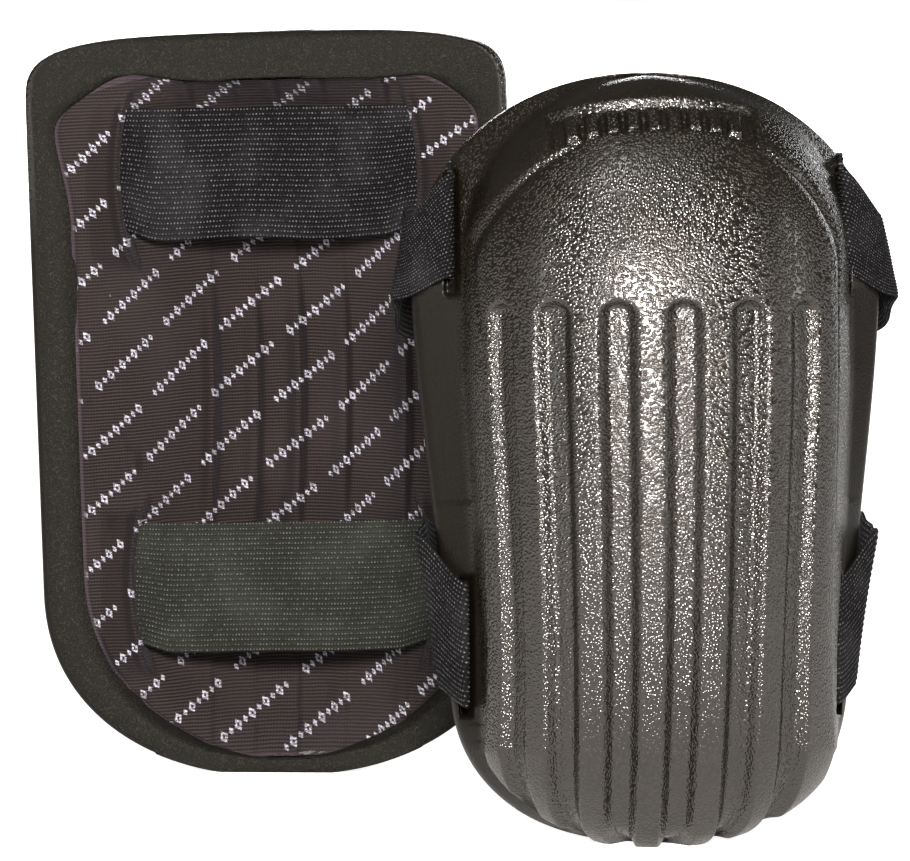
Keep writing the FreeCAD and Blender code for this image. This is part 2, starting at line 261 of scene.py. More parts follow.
def to_pad(points, side):
    """Points of the row frame in metres, as pad points in millimetres."""
    m = np.array(PAD[side].inverted())
    return points @ m[:3, :3].T / MM + m[:3, 3] / MM


def row_point(x, y, z, side):
    return tuple(to_row(np.array([[x, y, z]], float), side)[0])


# ---- mesh helpers

def link_object(name, data):
    obj = bpy.data.objects.new(name, data)
    bpy.context.scene.collection.objects.link(obj)
    return obj


def make_object(name, points, faces, side, material=None):
    """A smooth mesh object from pad points, in the row frame, with its faces turned outwards."""
    mesh = bpy.data.meshes.new(name)
    mesh.from_pydata([tuple(p) for p in to_row(points, side)], [], faces)
    mesh.validate()
    mesh.update()
    if material:
        mesh.materials.append(material)
    mesh.polygons.foreach_set("use_smooth", [True] * len(mesh.polygons))
    bm = bmesh.new()
    bm.from_mesh(mesh)
    bmesh.ops.recalc_face_normals(bm, faces=bm.faces)
    bm.to_mesh(mesh)
    bm.free()
    return link_object(name, mesh)


def stand_in(obj, node, body=None):
    """Puts an object in place of a CAD node, and on a body if one is given."""
    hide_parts(node)
    if body:
        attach(obj, body)


def add_attribute(obj, name, grid):
    """Gives each vertex a number or a vector from a grid, for the materials to read."""
    kind, field = ("FLOAT_VECTOR", "vector") if grid.ndim == 3 else ("FLOAT", "value")
    attribute = obj.data.attributes.new(name, kind, "POINT")
    attribute.data.foreach_set(field, grid.astype(np.float32).ravel())


def tube_faces(rows, columns, start=0):
    """Faces of a closed tube whose points run round each row first, with a cap at each end."""
    faces = []
    for j in range(rows - 1):
        low, high = start + j * columns, start + (j + 1) * columns
        for i in range(columns):
            k = (i + 1) % columns
            faces.append((low + i, low + k, high + k, high + i))
    faces.append(tuple(range(start, start + columns))[::-1])
    faces.append(tuple(range(start + (rows - 1) * columns, start + rows * columns)))
    return faces


def both_faces(top, bottom):
    """Rows that run over the top grid and back under the bottom grid."""
    return np.concatenate([top, bottom[:, ::-1]], 1)


def closed_layer(top, bottom):
    """Points and faces of a closed sheet between two grids."""
    ring = both_faces(top, bottom)
    return ring.reshape(-1, 3), tube_faces(*ring.shape[:2])


def layer_between(x, z, face, behind):
    """Points and faces of a closed sheet between two depths over the same x and z."""
    return closed_layer(np.stack([x, face, z], 2), np.stack([x, behind, z], 2))


def length_along(line):
    """Distance from a polyline's first point to each of its points."""
    steps = np.linalg.norm(np.diff(line, axis=0), axis=1)
    return np.concatenate([[0.0], np.cumsum(steps)])


def resample(line, count):
    """The same polyline with evenly spaced points."""
    along = length_along(line)
    wanted = np.linspace(0.0, along[-1], count)
    return np.stack([np.interp(wanted, along, line[:, k]) for k in range(line.shape[1])], 1)


def bell_weights(spread):
    """Weights of a moving average, by steps from its middle."""
    reach = int(3 * spread)
    weights = np.exp(-0.5 * (np.arange(-reach, reach + 1) / spread) ** 2)
    return weights / weights.sum()


def ease_closed(loop, spread):
    """Rounds the corners of a closed line whose points are evenly spaced."""
    weights = bell_weights(spread)
    reach = len(weights) // 2
    picks = (np.arange(len(loop))[:, None] + np.arange(-reach, reach + 1)[None, :]) % len(loop)
    return (loop[picks] * weights[None, :, None]).sum(1)


def ease_open(line, spread):
    """Rounds the corners of an open line whose points are evenly spaced; its two ends stay put."""
    weights = bell_weights(spread)
    reach = len(weights) // 2
    padded = np.vstack([np.repeat(line[:1], reach, 0), line, np.repeat(line[-1:], reach, 0)])
    return np.stack([np.convolve(padded[:, k], weights, "valid") for k in range(line.shape[1])], 1)


def surface_normals(grid):
    normal = np.cross(np.gradient(grid, axis=0), np.gradient(grid, axis=1))
    return normal / np.maximum(np.linalg.norm(normal, axis=2, keepdims=True), 1e-9)


def boxy_arc(half_width, depth, boxiness, count):
    """Half of a rounded box from -X round to +X, as x and y."""
    angle = np.linspace(0.0, math.pi, count)
    across, along = np.cos(angle), np.sin(angle)
    x = -np.sign(across) * np.abs(across) ** (2.0 / boxiness) * half_width
    return x, along ** (2.0 / boxiness) * depth


# ---- the pad's form

def corner_share(t, power):
    """How a rounded end narrows an outline: 1 where it starts and 0 at its tip."""
    t = np.clip(t, 0.0, 1.0)
    return (1.0 - t ** power) ** (1.0 / power)


def end_shares(z, form):
    """How both rounded ends of an outline narrow it."""
    foot, foot_height, foot_boxiness = form["foot"]
    top, top_height, top_boxiness = form["top"]
    low = corner_share((foot + foot_height - z) / foot_height, foot_boxiness)
    return low * corner_share((z - top + top_height) / top_height, top_boxiness)


def outline_half_width(z, form):
    """Half the width of an outline at height z."""
    z = np.asarray(z, float)
    narrow, wide = form["widths"]
    return (narrow + (wide - narrow) * smooth(z, *form["grows"])) * end_shares(z, form)


def rim_half_width(z, side):
    return outline_half_width(z, RIM[side])


def lining_half_width(z, side):
    return outline_half_width(z, LINING[side])


def tapered_half_width(z):
    """Half the width of the cup before its ends are rounded."""
    return CUP_HALF_WIDTH - CUP_TAPER * np.maximum(0.0, CUP_TAPER_TOP_Z - z)


def cup_half_width(z, side):
    """Half the width of the cup where it rises from the flange."""
    width = tapered_half_width(np.maximum(z, STRAP_Z["lower"])) * end_shares(z, CUP_ENDS)
    return np.minimum(width, rim_half_width(z, side) - 1.0)


def cup_depth(z):
    """Front-to-back depth of the cup on its centre line."""
    up = corner_share((z - DEEPEST_Z) / 76.0, 2.2)
    down = np.sqrt(1.0 - (np.maximum(DEEPEST_Z - z, 0.0) / 151.0) ** 3)
    return CUP_DEPTH * np.where(z > DEEPEST_Z, up, down)


def end_round(z, radius):
    """Takes the sharp edge off the pad's top and bottom ends."""
    t = np.clip(1.0 - min(z, HEIGHT - z) / radius, 0.0, 1.0)
    return radius * (1.0 - math.sqrt(1.0 - t * t))


def edge_thickness(z):
    """Thickness of the flange at its outer edge."""
    return 6.5 + 3.5 * float(smooth(z, 190.0, 212.0))


def bowl_fall(x, z):
    """How far the lining's face lies in front of the rim plane."""
    depth = BOWL_DEPTH * (1.0 - np.minimum(np.abs(z - BOWL_CENTRE_Z) / BOWL_HALF_HEIGHT, 1.0) ** 8)
    reach = np.clip(np.abs(x) / BOWL_HALF_WIDTH, 0.0, 1.0)
    return depth * (1.0 + np.cos(math.pi * reach)) / 2.0


def cushion_depth(x, z, side):
    """How far the shell lies under the lining's face: thin at the lining's edge, deeper inside."""
    inside = lining_half_width(z, side) - np.abs(x)
    return 2.6 + 4.0 * smooth(inside, 4.0, 18.0)


def scallop(x, z):
    """How far the lining's top edge rises into its two corners and sags between them."""
    crest = 3.4 * bell(x + 47.0, 10.0) + 4.4 * bell(x - 41.0, 12.0)
    return (crest - 2.6) * smooth(z, 186.0, 203.0)


def back_surface(x, z, side):
    """How deep the shell's back lies under the rim plane: a bowl where the lining sits, flat outside."""
    margin = 1.2
    half = lining_half_width(z - scallop(x, z), side)
    inside = smooth(np.where(half > 0.5, half, -margin) - np.abs(x), -margin, margin)
    return (bowl_fall(x, z) + cushion_depth(x, z, side)) * inside


# ---- shell

def dome_relief(x, z, along, tilt):
    """The knee dome stands proud of the shoulder, with a crease round it."""
    lifted = z - tilt * x
    rise = np.clip((lifted - RIB_TOP_Z) / CREASE_HEIGHT, 0.0, 1.0)
    upper = (CREASE_HALF_WIDTH * np.sqrt(1.0 - rise * rise) - np.abs(x)) * 0.75
    upper = np.where(lifted > RIB_TOP_Z + 49.0, -6.0, upper)
    lower = 60.0 - np.abs(along)
    mix = smooth(lifted, 140.0, 172.0)
    inside = lower * (1.0 - mix) + upper * mix
    return DOME_STEP * smooth(inside, -0.5, 4.0) - CREASE_DEPTH * bell(inside, 1.3)


def groove_relief(z, along, scale):
    """Six upright grooves, rounded at the top, that leave seven ribs."""
    pitch = GROOVE_PITCH * scale
    off = np.abs((along / pitch) % 1.0 - 0.5) * pitch
    groove = 1.0 - smooth(off, GROOVE_FLOOR * scale, GROOVE_MOUTH * scale)
    groove = groove * (np.abs(along) < 3.0 * pitch)
    top = RIB_TOP_Z - 2.8 * (off / (5.5 * scale)) ** 2
    return -GROOVE_DEPTH * groove * (1.0 - smooth(z, top - 1.2, top + 0.6))


def recess_relief(x, z, tilt):
    """A shallow arched recess over the dome, with a row of plain upright bars in it."""
    across = np.abs(z - (RECESS_Z - (x / 62.0) ** 2 * 14.0 + tilt * x * 0.5))
    length = smooth(RECESS_HALF_LENGTH - np.abs(x), -0.6, 1.0)
    band = smooth(RECESS_HALF_HEIGHT - across, -0.6, 0.8)
    reach = RECESS_HALF_LENGTH - BAR_MARGIN
    pitch = 2.0 * reach / BAR_COUNT
    beat = np.abs(((x + reach) / pitch) % 1.0 - 0.5) * pitch
    bars = smooth(1.9 - beat, -0.6, 0.6) * smooth(3.5 - across, -0.7, 0.8) * (np.abs(x) < reach)
    return length * band * (BAR_RISE * bars - RECESS_DEPTH)


def front_relief(x, z, along, side):
    """How far the front stands out from the plain cup."""
    tilt = DOME_TILT[side]
    scale = tapered_half_width(z) / CUP_HALF_WIDTH
    ribs = groove_relief(z, along - RIB_SHIFT[side], scale)
    return dome_relief(x, z, along, tilt) + ribs + recess_relief(x, z, tilt)


def slot_relief(x, z, side):
    """How deep the strap slots cut into the flange, as a share from 0 to 1."""
    cut = np.zeros_like(x)
    for strap in STRAPS:
        tall = smooth(STRAP_WIDTH / 2.0 + 0.6 - np.abs(z - STRAP_Z[strap]), -0.5, 0.5)
        wide = smooth(SLOT_HALF_GAP - np.abs(np.abs(x) - SLOT_X[strap]), -0.5, 0.5)
        walled = smooth(rim_half_width(z, side) - SLOT_X[strap], 1.6, 2.8)
        cut = np.maximum(cut, tall * wide * walled)
    return cut


def section_loop(z, side):
    """One level section of the shell: its front from -X to +X, and its back from +X to -X."""
    rim = float(rim_half_width(z, side))
    cup = float(cup_half_width(z, side))
    edge = edge_thickness(z)
    depth = max(float(cup_depth(z)) - end_round(z, FRONT_EDGE_RADIUS), edge + 1.0)
    x, y = boxy_arc(cup, -depth, CUP_BOXINESS, 241)
    shift = CUP_SHIFT[side] * (1.0 - (np.abs(x) / 90.0) ** 3) * min(1.0, cup / 40.0)
    above_foot = y < -min(FOOT_DEPTH, 0.62 * depth)
    cup_line = np.stack([x + shift, y], 1)[above_foot]
    back_start = -end_round(z, BACK_EDGE_RADIUS)
    flange = np.array([[-rim, back_start], [-rim, -edge]])
    front = np.vstack([flange, cup_line, flange[::-1] * (-1.0, 1.0)])
    back_x = np.linspace(rim, -rim, 121)
    return front, np.stack([back_x, back_start - back_surface(back_x, z, side)], 1)


def even_section(z, side):
    """A level section with eased corners and evenly spaced points, its front first."""
    front, back = section_loop(z, side)
    front, back = resample(front, SECTION_FRONT), resample(back, SECTION_BACK)
    step = np.linalg.norm(front[1] - front[0])
    loop = ease_closed(np.vstack([front, back[1:-1]]), max(1.6 / step, 1.0) if step > 0.2 else 2.0)
    behind = np.vstack([loop[SECTION_FRONT - 1:], loop[:1]])
    return np.vstack([resample(loop[:SECTION_FRONT], SHELL_FRONT), resample(behind, SHELL_BACK + 2)[1:-1]])


def plain_shell(side):
    """The shell without relief, in level sections, and each front point's distance from the centre line."""
    turn = np.linspace(0.02, math.pi - 0.02, SHELL_ROWS[side])
    heights = HEIGHT / 2.0 * (1.0 - np.cos(turn))
    points = np.zeros((len(heights), SHELL_FRONT + SHELL_BACK, 3))
    along = np.zeros((len(heights), SHELL_FRONT))
    for j, z in enumerate(heights):
        points[j, :, :2] = even_section(z, side)
        points[j, :, 2] = z
        front = points[j, :SHELL_FRONT, :2]
        run = length_along(front)
        along[j] = run - np.interp(0.0, front[:, 0], run)
    return points, along


def press_on_floor(points, side):
    """Pushes up what would reach under the floor."""
    under = CAD_BOX[0][2] - to_row(points.reshape(-1, 3), side)[:, 2].reshape(points.shape[:2])
    points[:, :, 2] += np.maximum(under, 0.0) / MM


def build_shell(side, material):
    """The moulded shell as one closed mesh of level sections."""
    points, along = plain_shell(side)
    normal = surface_normals(points)[:, :SHELL_FRONT]
    x, y, z = np.moveaxis(points[:, :SHELL_FRONT].copy(), 2, 0)
    on_cup = smooth(-y, FOOT_DEPTH - 2.0, FOOT_DEPTH + 3.0)
    on_flange = 1.0 - smooth(-y, FOOT_DEPTH + 1.0, FOOT_DEPTH + 5.0)
    outward = -np.sign(normal[..., 1].mean())
    push = front_relief(x, z, along, side) * on_cup * outward
    points[:, :SHELL_FRONT] += normal * push[..., None]
    points[:, :SHELL_FRONT, 1] += slot_relief(x, z, side) * on_flange * SLOT_DEPTH
    press_on_floor(points, side)
    faces = tube_faces(*points.shape[:2])
    obj = make_object(side + "_foam_shell", points.reshape(-1, 3), faces, side, material)
    domed = np.maximum(on_cup, 0.8 * smooth(z, 150.0, 178.0))
    beside = ((0, 0), (0, SHELL_BACK))
    add_attribute(obj, "back", np.pad(np.zeros_like(z), beside, constant_values=1.0))
    add_attribute(obj, "cup", np.pad(domed, beside))
    stand_in(obj, side + "_shell", side + "_pad")


# ---- straps

def lean_at(side, strap, share):
    """How far a leg band leans along the pad at the flank, by share of its width from -0.5 to 0.5."""
    low, high = LEAN[side, strap]
    return low + (high - low) * (share + 0.5)


def loop_arc(side, half_width):
    """The far part of a leg loop in plan view, from -X round to +X."""
    start_y = LOOP_ARC_Y[side]
    x, reach = boxy_arc(half_width, LOOP_DEPTH[side] - abs(start_y), LOOP_BOXINESS, 90)
    return np.stack([x, start_y + AWAY[side] * reach], 1)


def loop_plan(side, strap, share):
    """Plan view of a leg band at a share of its width, from one slot to the other."""
    slot = SLOT_X[strap]
    if side == "left":
        arc = loop_arc(side, slot + 7.5)
        start = np.array([[-slot, -8.0], [-slot, -17.0]])
    else:
        leaned = STRAP_Z[strap] + share * STRAP_WIDTH * GATHERED[side, strap] + lean_at(side, strap, share)
        rim = max(float(rim_half_width(leaned + step, side)) for step in (-2.0, 0.0, 2.0))
        inner_edge = 0.5 - share if strap == "upper" else 0.5 + share
        bulge = LOOP_BULGE * inner_edge ** 1.5
        arc = loop_arc(side, float(rim_half_width(STRAP_Z[strap], side)) + 2.2 + bulge)
        start = np.array([[-slot, -8.5], [-slot, -16.4], [-rim + 0.8 - bulge * 0.4, -8.6],
                          [-rim - 1.5 - bulge, -4.5], [-rim - 2.0 - bulge, 0.5]])
    line = np.vstack([start, arc, start[::-1] * (-1.0, 1.0)])
    return resample(ease_open(resample(line, 900), 6), LEG_BAND_POINTS)


def leg_band_grid(side, strap):
    """Middle surface of a leg band: points by length and by width, as the strap hangs."""
    away, hinge, gathered = AWAY[side], HINGE_Y[side], GATHERED[side, strap]
    swing = math.radians(SWING_AT_REST[side, strap]) * away
    shares = np.linspace(-0.5, 0.5, STRAP_COLUMNS)
    grid = np.zeros((LEG_BAND_POINTS, STRAP_COLUMNS, 3))
    for column, share in enumerate(shares):
        x, y = loop_plan(side, strap, share).T
        free = smooth(away * (y - hinge), -8.0, 16.0)
        across = share * STRAP_WIDTH * (gathered + (1.0 - gathered) * free)
        angle = swing * free
        grid[:, column, 0] = x
        grid[:, column, 1] = hinge + (y - hinge) * np.cos(angle) - across * np.sin(angle)
        grid[:, column, 2] = STRAP_Z[strap] + (y - hinge) * np.sin(angle) + across * np.cos(angle)
    behind = away * (grid[:, :, 1] - hinge)
    beyond_slot = smooth(np.abs(grid[:, :, 0]), SLOT_X[strap] - 1.0, SLOT_X[strap] + 15.0)
    leaning = np.where(behind > 0.0, 1.0, beyond_slot) * (1.0 - smooth(behind, 2.0, 46.0))
    grid[:, :, 2] += leaning * lean_at(side, strap, shares)
    sag = 0.5 * np.sin(np.linspace(0.0, 5.0 * math.pi, LEG_BAND_POINTS))
    grid[:, :, 2] += (sag * smooth(away * grid[:, :, 1].mean(1), 0.0, 20.0))[:, None]
    return grid


def facing_from(grid, inside):
    """1 if the grid's own normals point away from a place, else -1."""
    middle = grid.shape[0] // 2, grid.shape[1] // 2
    return 1.0 if np.dot(surface_normals(grid)[middle], grid[middle] - np.asarray(inside)) > 0 else -1.0


def loop_facing(side, strap, grid):
    """Which way round a piece of a leg band has to be for its normals to point out of the loop."""
    return facing_from(grid, (0.0, 20.0 if side == "right" else -30.0, STRAP_Z[strap]))


def sheet_object(name, grid, outward, side, material, ridge=0.0, offsets=(-HALF_THICKNESS, HALF_THICKNESS)):
    """A closed band between two offsets of a grid, with eased edges and ridges along its length."""
    inner, outer = offsets
    columns = grid.shape[1]
    normal = surface_normals(grid) * outward
    edge = np.sqrt(np.clip(1.0 - np.abs(np.linspace(-1.0, 1.0, columns)) ** 14, 0.0, 1.0))
    across = length_along(grid[grid.shape[0] // 2])
    ribbing = -ridge * (1.0 + np.cos(2.0 * math.pi * across / WEAVE_PITCH))
    middle = (inner + outer) / 2.0
    half = (outer - inner) / 2.0 * np.maximum(edge, 0.35) + ribbing
    top = grid + normal * (middle + half)[None, :, None]
    bottom = grid + normal * (middle - half)[None, :, None]
    points, faces = closed_layer(top, bottom)
    obj = make_object(name, points, faces, side, material)
    weave = np.zeros((grid.shape[0], 2 * columns, 3))
    weave[:, :, 0] = length_along(grid[:, columns // 2])[:, None]
    weave[:, :, 1] = np.concatenate([across, across[::-1]])
    add_attribute(obj, "weave", weave)
    return obj


def build_leg_band(side, strap, material):
    """The elastic loop that goes round the leg, from slot to slot."""
    grid = leg_band_grid(side, strap)
    outward = loop_facing(side, strap, grid)
    obj = sheet_object(f"{side}_{strap}_leg_strap", grid, outward, side, material, WEAVE_RIDGE)
    stand_in(obj, f"{side}_{strap}_leg_band")
    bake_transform(obj)


def band_piece(side, strap, span, width, rows, columns=15):
    """A piece of the leg band's middle surface. The left pad's closures run the other way along it."""
    grid = leg_band_grid(side, strap)
    line = grid[:, STRAP_COLUMNS // 2]
    along = length_along(line)
    along -= np.interp(0.0, line[:, 0], along)
    direction = 1.0 if side == "right" else -1.0
    places = np.linspace(direction * span[0], direction * span[1], rows)
    shares = 0.5 + np.linspace(-0.5, 0.5, columns) * width / STRAP_WIDTH
    across = np.linspace(0.0, 1.0, STRAP_COLUMNS)
    piece = np.zeros((rows, columns, 3))
    for k in range(3):
        lengthwise = np.stack([np.interp(places, along, column) for column in grid[:, :, k].T], 1)
        piece[:, :, k] = [np.interp(shares, across, row) for row in lengthwise]
    return piece


def build_loop_patch(side, strap, material):
    """The soft half of the closure, sewn on the outside of the leg band."""
    grid = band_piece(side, strap, PATCH_SPAN, PATCH_WIDTH, 40)
    obj = sheet_object(f"{side}_{strap}_soft_patch", grid, loop_facing(side, strap, grid), side, material,
                       offsets=(HALF_THICKNESS, HALF_THICKNESS + PATCH_THICKNESS))
    stand_in(obj, f"{side}_{strap}_loop_patch", f"{side}_{strap}_loop")


def build_hook_tab(side, strap, material):
    """The squared strap end that peels off the patch. Returns its surface and normals for the stitches."""
    grid = band_piece(side, strap, TAB_SPAN, TAB_WIDTH, TAB_ROWS)
    outward = loop_facing(side, strap, grid)
    normal = surface_normals(grid) * outward
    place = np.linspace(*TAB_SPAN, TAB_ROWS)
    at_root = smooth(place, *TAB_BEND)
    lift = TAB_OVER_PATCH * (1.0 - at_root) + TAB_AT_ROOT * at_root
    lift += TAB_TIP_LIFT * (1.0 - smooth(place, TAB_SPAN[0], TAB_SPAN[0] + 7.0))
    grid = grid + normal * (lift + HALF_THICKNESS)[:, None, None]
    obj = sheet_object(f"{side}_{strap}_strap_end", grid, outward, side, material)
    stand_in(obj, f"{side}_{strap}_hook_tab")
    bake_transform(obj)
    return grid, normal


def stitch_ends():
    """Both ends of each stitch, as place along the tab and share of its width: a box with two end rows."""
    low, high = STITCH_MARGIN, 1.0 - STITCH_MARGIN
    pitch = (high - low) / END_STITCHES
    for place in END_ROWS:
        for i in range(END_STITCHES):
            yield (place, low + pitch * i), (place, low + pitch * (i + 0.68))
    for share in (low, high):
        for place in SIDE_PLACES:
            yield (place, share), (place + SIDE_STITCH, share)


def grid_value(grid, row, column):
    """A grid's value between its points."""
    r, c = (int(min(at, size - 2)) for at, size in zip((row, column), grid.shape))
    down, right = row - r, column - c
    upper = grid[r, c] * (1.0 - right) + grid[r, c + 1] * right
    lower = grid[r + 1, c] * (1.0 - right) + grid[r + 1, c + 1] * right
    return upper * (1.0 - down) + lower * down


def stitch_bead(a, b, lift):
    """Points of one stitch: a short rounded bead from a to b."""
    sideways = np.cross((b - a) / np.linalg.norm(b - a), lift)
    points = []
    for t in np.linspace(0.0, 1.0, STITCH_STEPS):
        swell = math.sin(math.pi * (0.08 + 0.84 * t))
        centre = a + (b - a) * t + lift * 0.16 * swell
        for turn in np.linspace(0.0, 2.0 * math.pi, STITCH_SIDES, endpoint=False):
            ring = sideways * math.cos(turn) + lift * math.sin(turn)
            points.append(centre + ring * THREAD_RADIUS * swell)
    return points


def build_stitching(side, strap, grid, normal, material):
    """Thread stitches in a box across the strap's end."""
    rows, columns = grid.shape[:2]
    surface = grid + normal * (HALF_THICKNESS + 0.04)
    rows_per_mm = (rows - 1) / (TAB_SPAN[1] - TAB_SPAN[0])
    points, faces = [], []
    for ends in stitch_ends():
        spots = [((place - TAB_SPAN[0]) * rows_per_mm, share * (columns - 1)) for place, share in ends]
        a, b = (grid_value(surface, *spot) for spot in spots)
        faces += tube_faces(STITCH_STEPS, STITCH_SIDES, start=len(points))
        points += stitch_bead(a, b, grid_value(normal, *spots[0]))
    obj = make_object(f"{side}_{strap}_thread", np.array(points), faces, side, material)
    stand_in(obj, f"{side}_{strap}_tab_stitching", f"{side}_{strap}_tab")


def inner_band_grid(side, strap):
    """Middle surface of the strap's inner run, stretched across the cup with a little sag and curl."""
    slot = SLOT_X[strap]
    line = np.array([[-slot, -10.0], [-slot, INNER_BAND_Y], [slot, INNER_BAND_Y], [slot, -10.0]])
    x, y = resample(ease_open(resample(line, 480), 4), INNER_BAND_POINTS).T
    middle = 1.0 - (x / slot) ** 2
    bow = -1.6 if (side, strap) == ("left", "upper") else 0.4 * middle
    curl = (0.5 * np.sin(x / 7.5 + 0.6) - 0.7 * middle) * (1.0 if strap == "upper" else 0.35)
    curl = curl + 2.4 * smooth(np.abs(x), 32.0, 43.0)
    grid = np.zeros((INNER_BAND_POINTS, STRAP_COLUMNS, 3))
    grid[:, :, 0] = x[:, None]
    for column, share in enumerate(np.linspace(-0.5, 0.5, STRAP_COLUMNS)):
        grid[:, column, 1] = y - middle * (0.5 + 0.35 * np.sin(x * 0.11 + share * 5.0))
        level = STRAP_Z[strap] + share * (STRAP_WIDTH - 0.6) - bow + 0.012 * x
        grid[:, column, 2] = level + (0.5 - share) * curl
    return grid


def build_inner_band(side, strap, material):
    """The strap's inner run, from slot to slot over the lining."""
    grid = inner_band_grid(side, strap)
    outward = facing_from(grid, (0.0, -40.0, STRAP_Z[strap]))
    obj = sheet_object(f"{side}_{strap}_inner_strap", grid, outward, side, material, WEAVE_RIDGE)
    stand_in(obj, f"{side}_{strap}_inner_band", side + "_pad")


# ---- lining and cushion

def from_strap(z):
    """How far a height lies from the middle of the nearer strap."""
    return np.minimum(np.abs(z - STRAP_Z["upper"]), np.abs(z - STRAP_Z["lower"]))


def strap_band(z, reach, soft):
    """1 where a strap crosses the lining and 0 above, between and below the straps."""
    return smooth(reach - from_strap(z), -soft, soft)


def pleats(x, z):
    """How far the lengthwise pleats stand up: each is steeper on one side, and flatter by the straps."""
    drift = 2.2 * np.sin(z / 31.0 + 0.7)
    middle = smooth(z, 146.0, 120.0) * smooth(z, 60.0, 92.0)
    total = np.zeros_like(x)
    for centre, width, share in PLEATS:
        off = x - centre - drift
        total = total + share * bell(off, np.where(off > 0.0, width, width * 0.42))
    return total * (0.35 + 0.65 * np.maximum(smooth(z, 190.0, 204.0), middle)) * PLEAT_HEIGHT


def lining_face(x, z):
    """The y of the lining's face: a pleated bowl, with a lip over each strap end."""
    reach = np.abs(x)
    waves = 0.5 * np.sin(x / 9.0 + z / 17.0) * np.sin(z / 23.0 + 1.3) * (reach < 60.0)
    top_roll = 0.6 * np.sin(math.pi * np.clip((z - 198.0) / 8.0, 0.0, 1.0)) * smooth(58.0 - reach, 0.0, 8.0)
    face = pleats(x, z) - bowl_fall(x, z) + waves
    mouth = STRAP_MOUTH - 0.006 * from_strap(z) ** 2
    lip = 0.9 * bell(reach - mouth - 1.6, 1.4) - 1.5 - smooth(reach, 46.0, 56.0)
    over = smooth(reach - mouth, -0.8, 0.9) * strap_band(z, STRAP_WIDTH / 2.0 + 5.0, 3.6)
    return face + top_roll + over * np.maximum(lip - face, 0.0)


def lining_layout(side, inset=0.0):
    """Flat x and z of the lining's grid, with its scalloped top edge."""
    low, high = LINING_ENDS[side]
    turn = np.linspace(0.05, math.pi - 0.05, LINING_ROWS)
    heights = low + (high - low) * (1.0 - np.cos(turn)) / 2.0
    half = lining_half_width(heights, side) - inset
    x = np.linspace(-1.0, 1.0, LINING_COLUMNS)[None, :] * np.maximum(half, 0.5)[:, None]
    z = np.repeat(heights[:, None], LINING_COLUMNS, 1)
    return x, z + scallop(x, z)


def knit_run(x, z):
    """Distance over the bowl from the centre line, along each row of the lining's grid."""
    steps = np.hypot(np.diff(x, axis=1), np.diff(bowl_fall(x, z), axis=1))
    run = np.pad(np.cumsum(steps, 1), ((0, 0), (1, 0)))
    middle = LINING_COLUMNS // 2
    return run - run[:, middle:middle + 1]


def build_lining(side, material):
    """The knitted lining sewn into the cup."""
    x, z = lining_layout(side)
    low = LINING_ENDS[side][0]
    hem = 1.0 - smooth(lining_half_width(z, side) - np.abs(x), 0.0, 2.2) * smooth(z, low - 0.4, low + 2.4)
    face = lining_face(x, z) + lining_swell(side, x, z) - hem + 0.2
    points, faces = layer_between(x, z, face, face - LINING_THICKNESS)
    obj = make_object(side + "_knit_lining", points, faces, side, material)
    knit = np.stack([knit_run(x, z), z, np.zeros_like(z)], 2)
    # Painted shade: the steep sides of the folds are marked here, and the lining's material darkens its
    # colour there.
    relief = face + bowl_fall(x, z)
    steep = np.abs(np.gradient(relief, axis=1) / np.maximum(np.gradient(x, axis=1), 0.05))
    painted_fold_shade = smooth(steep, 0.22, 1.1)
    for name, grid in (("knit", knit), ("painted_fold_shade", painted_fold_shade), ("hem", hem)):
        add_attribute(obj, name, both_faces(grid, grid))
    stand_in(obj, side + "_lining", side + "_pad")


def build_cushion(side, material):
    """The foam cushion under the lining."""
    x, z = lining_layout(side, inset=2.5)
    top = np.minimum(lining_face(x, z), 0.4 - bowl_fall(x, z)) - 1.6
    bottom = np.minimum(0.3 - bowl_fall(x, z) - cushion_depth(x, z, side), top - 0.3)
    points, faces = layer_between(x, z, top, bottom)
    obj = make_object(side + "_soft_cushion", points, faces, side, material)
    stand_in(obj, side + "_cushion", side + "_pad")


# ---- cloth simulation of the padding

def vertex_array(mesh):
    flat = np.zeros(len(mesh.vertices) * 3, np.float32)
    mesh.vertices.foreach_get("co", flat)
    return flat.reshape(-1, 3).astype(float)


def free_to_puff(points, side):
    """True for each lining point that may puff: inside the seams, off the straps and on the face."""
    x, y, z = points.T
    low, high = LINING_ENDS[side]
    on_face = y > lining_face(x, z) - 4.0
    inside = lining_half_width(z, side) - np.abs(x) > 6.0
    between = (z > low + 6.0) & (z < high - 8.0)
    at_mouth = (strap_band(z, 24.0, 2.0) > 0.5) & (np.abs(x) > 35.0)
    return on_face & inside & between & ~at_mouth


def padding_copy(side, x, z):
    """A coarse closed copy of the padding with even faces, for the simulation alone."""
    face = lining_face(x, z)
    points, faces = layer_between(x, z, face, face - PADDING_THICKNESS)
    obj = make_object(side + "_padding_copy", points, faces, side)
    bpy.context.view_layer.objects.active = obj
    remesh = obj.modifiers.new("remesh", "REMESH")
    remesh.mode = "VOXEL"
    remesh.voxel_size = SIM_VOXEL
    bpy.ops.object.modifier_apply(modifier="remesh")
    return obj


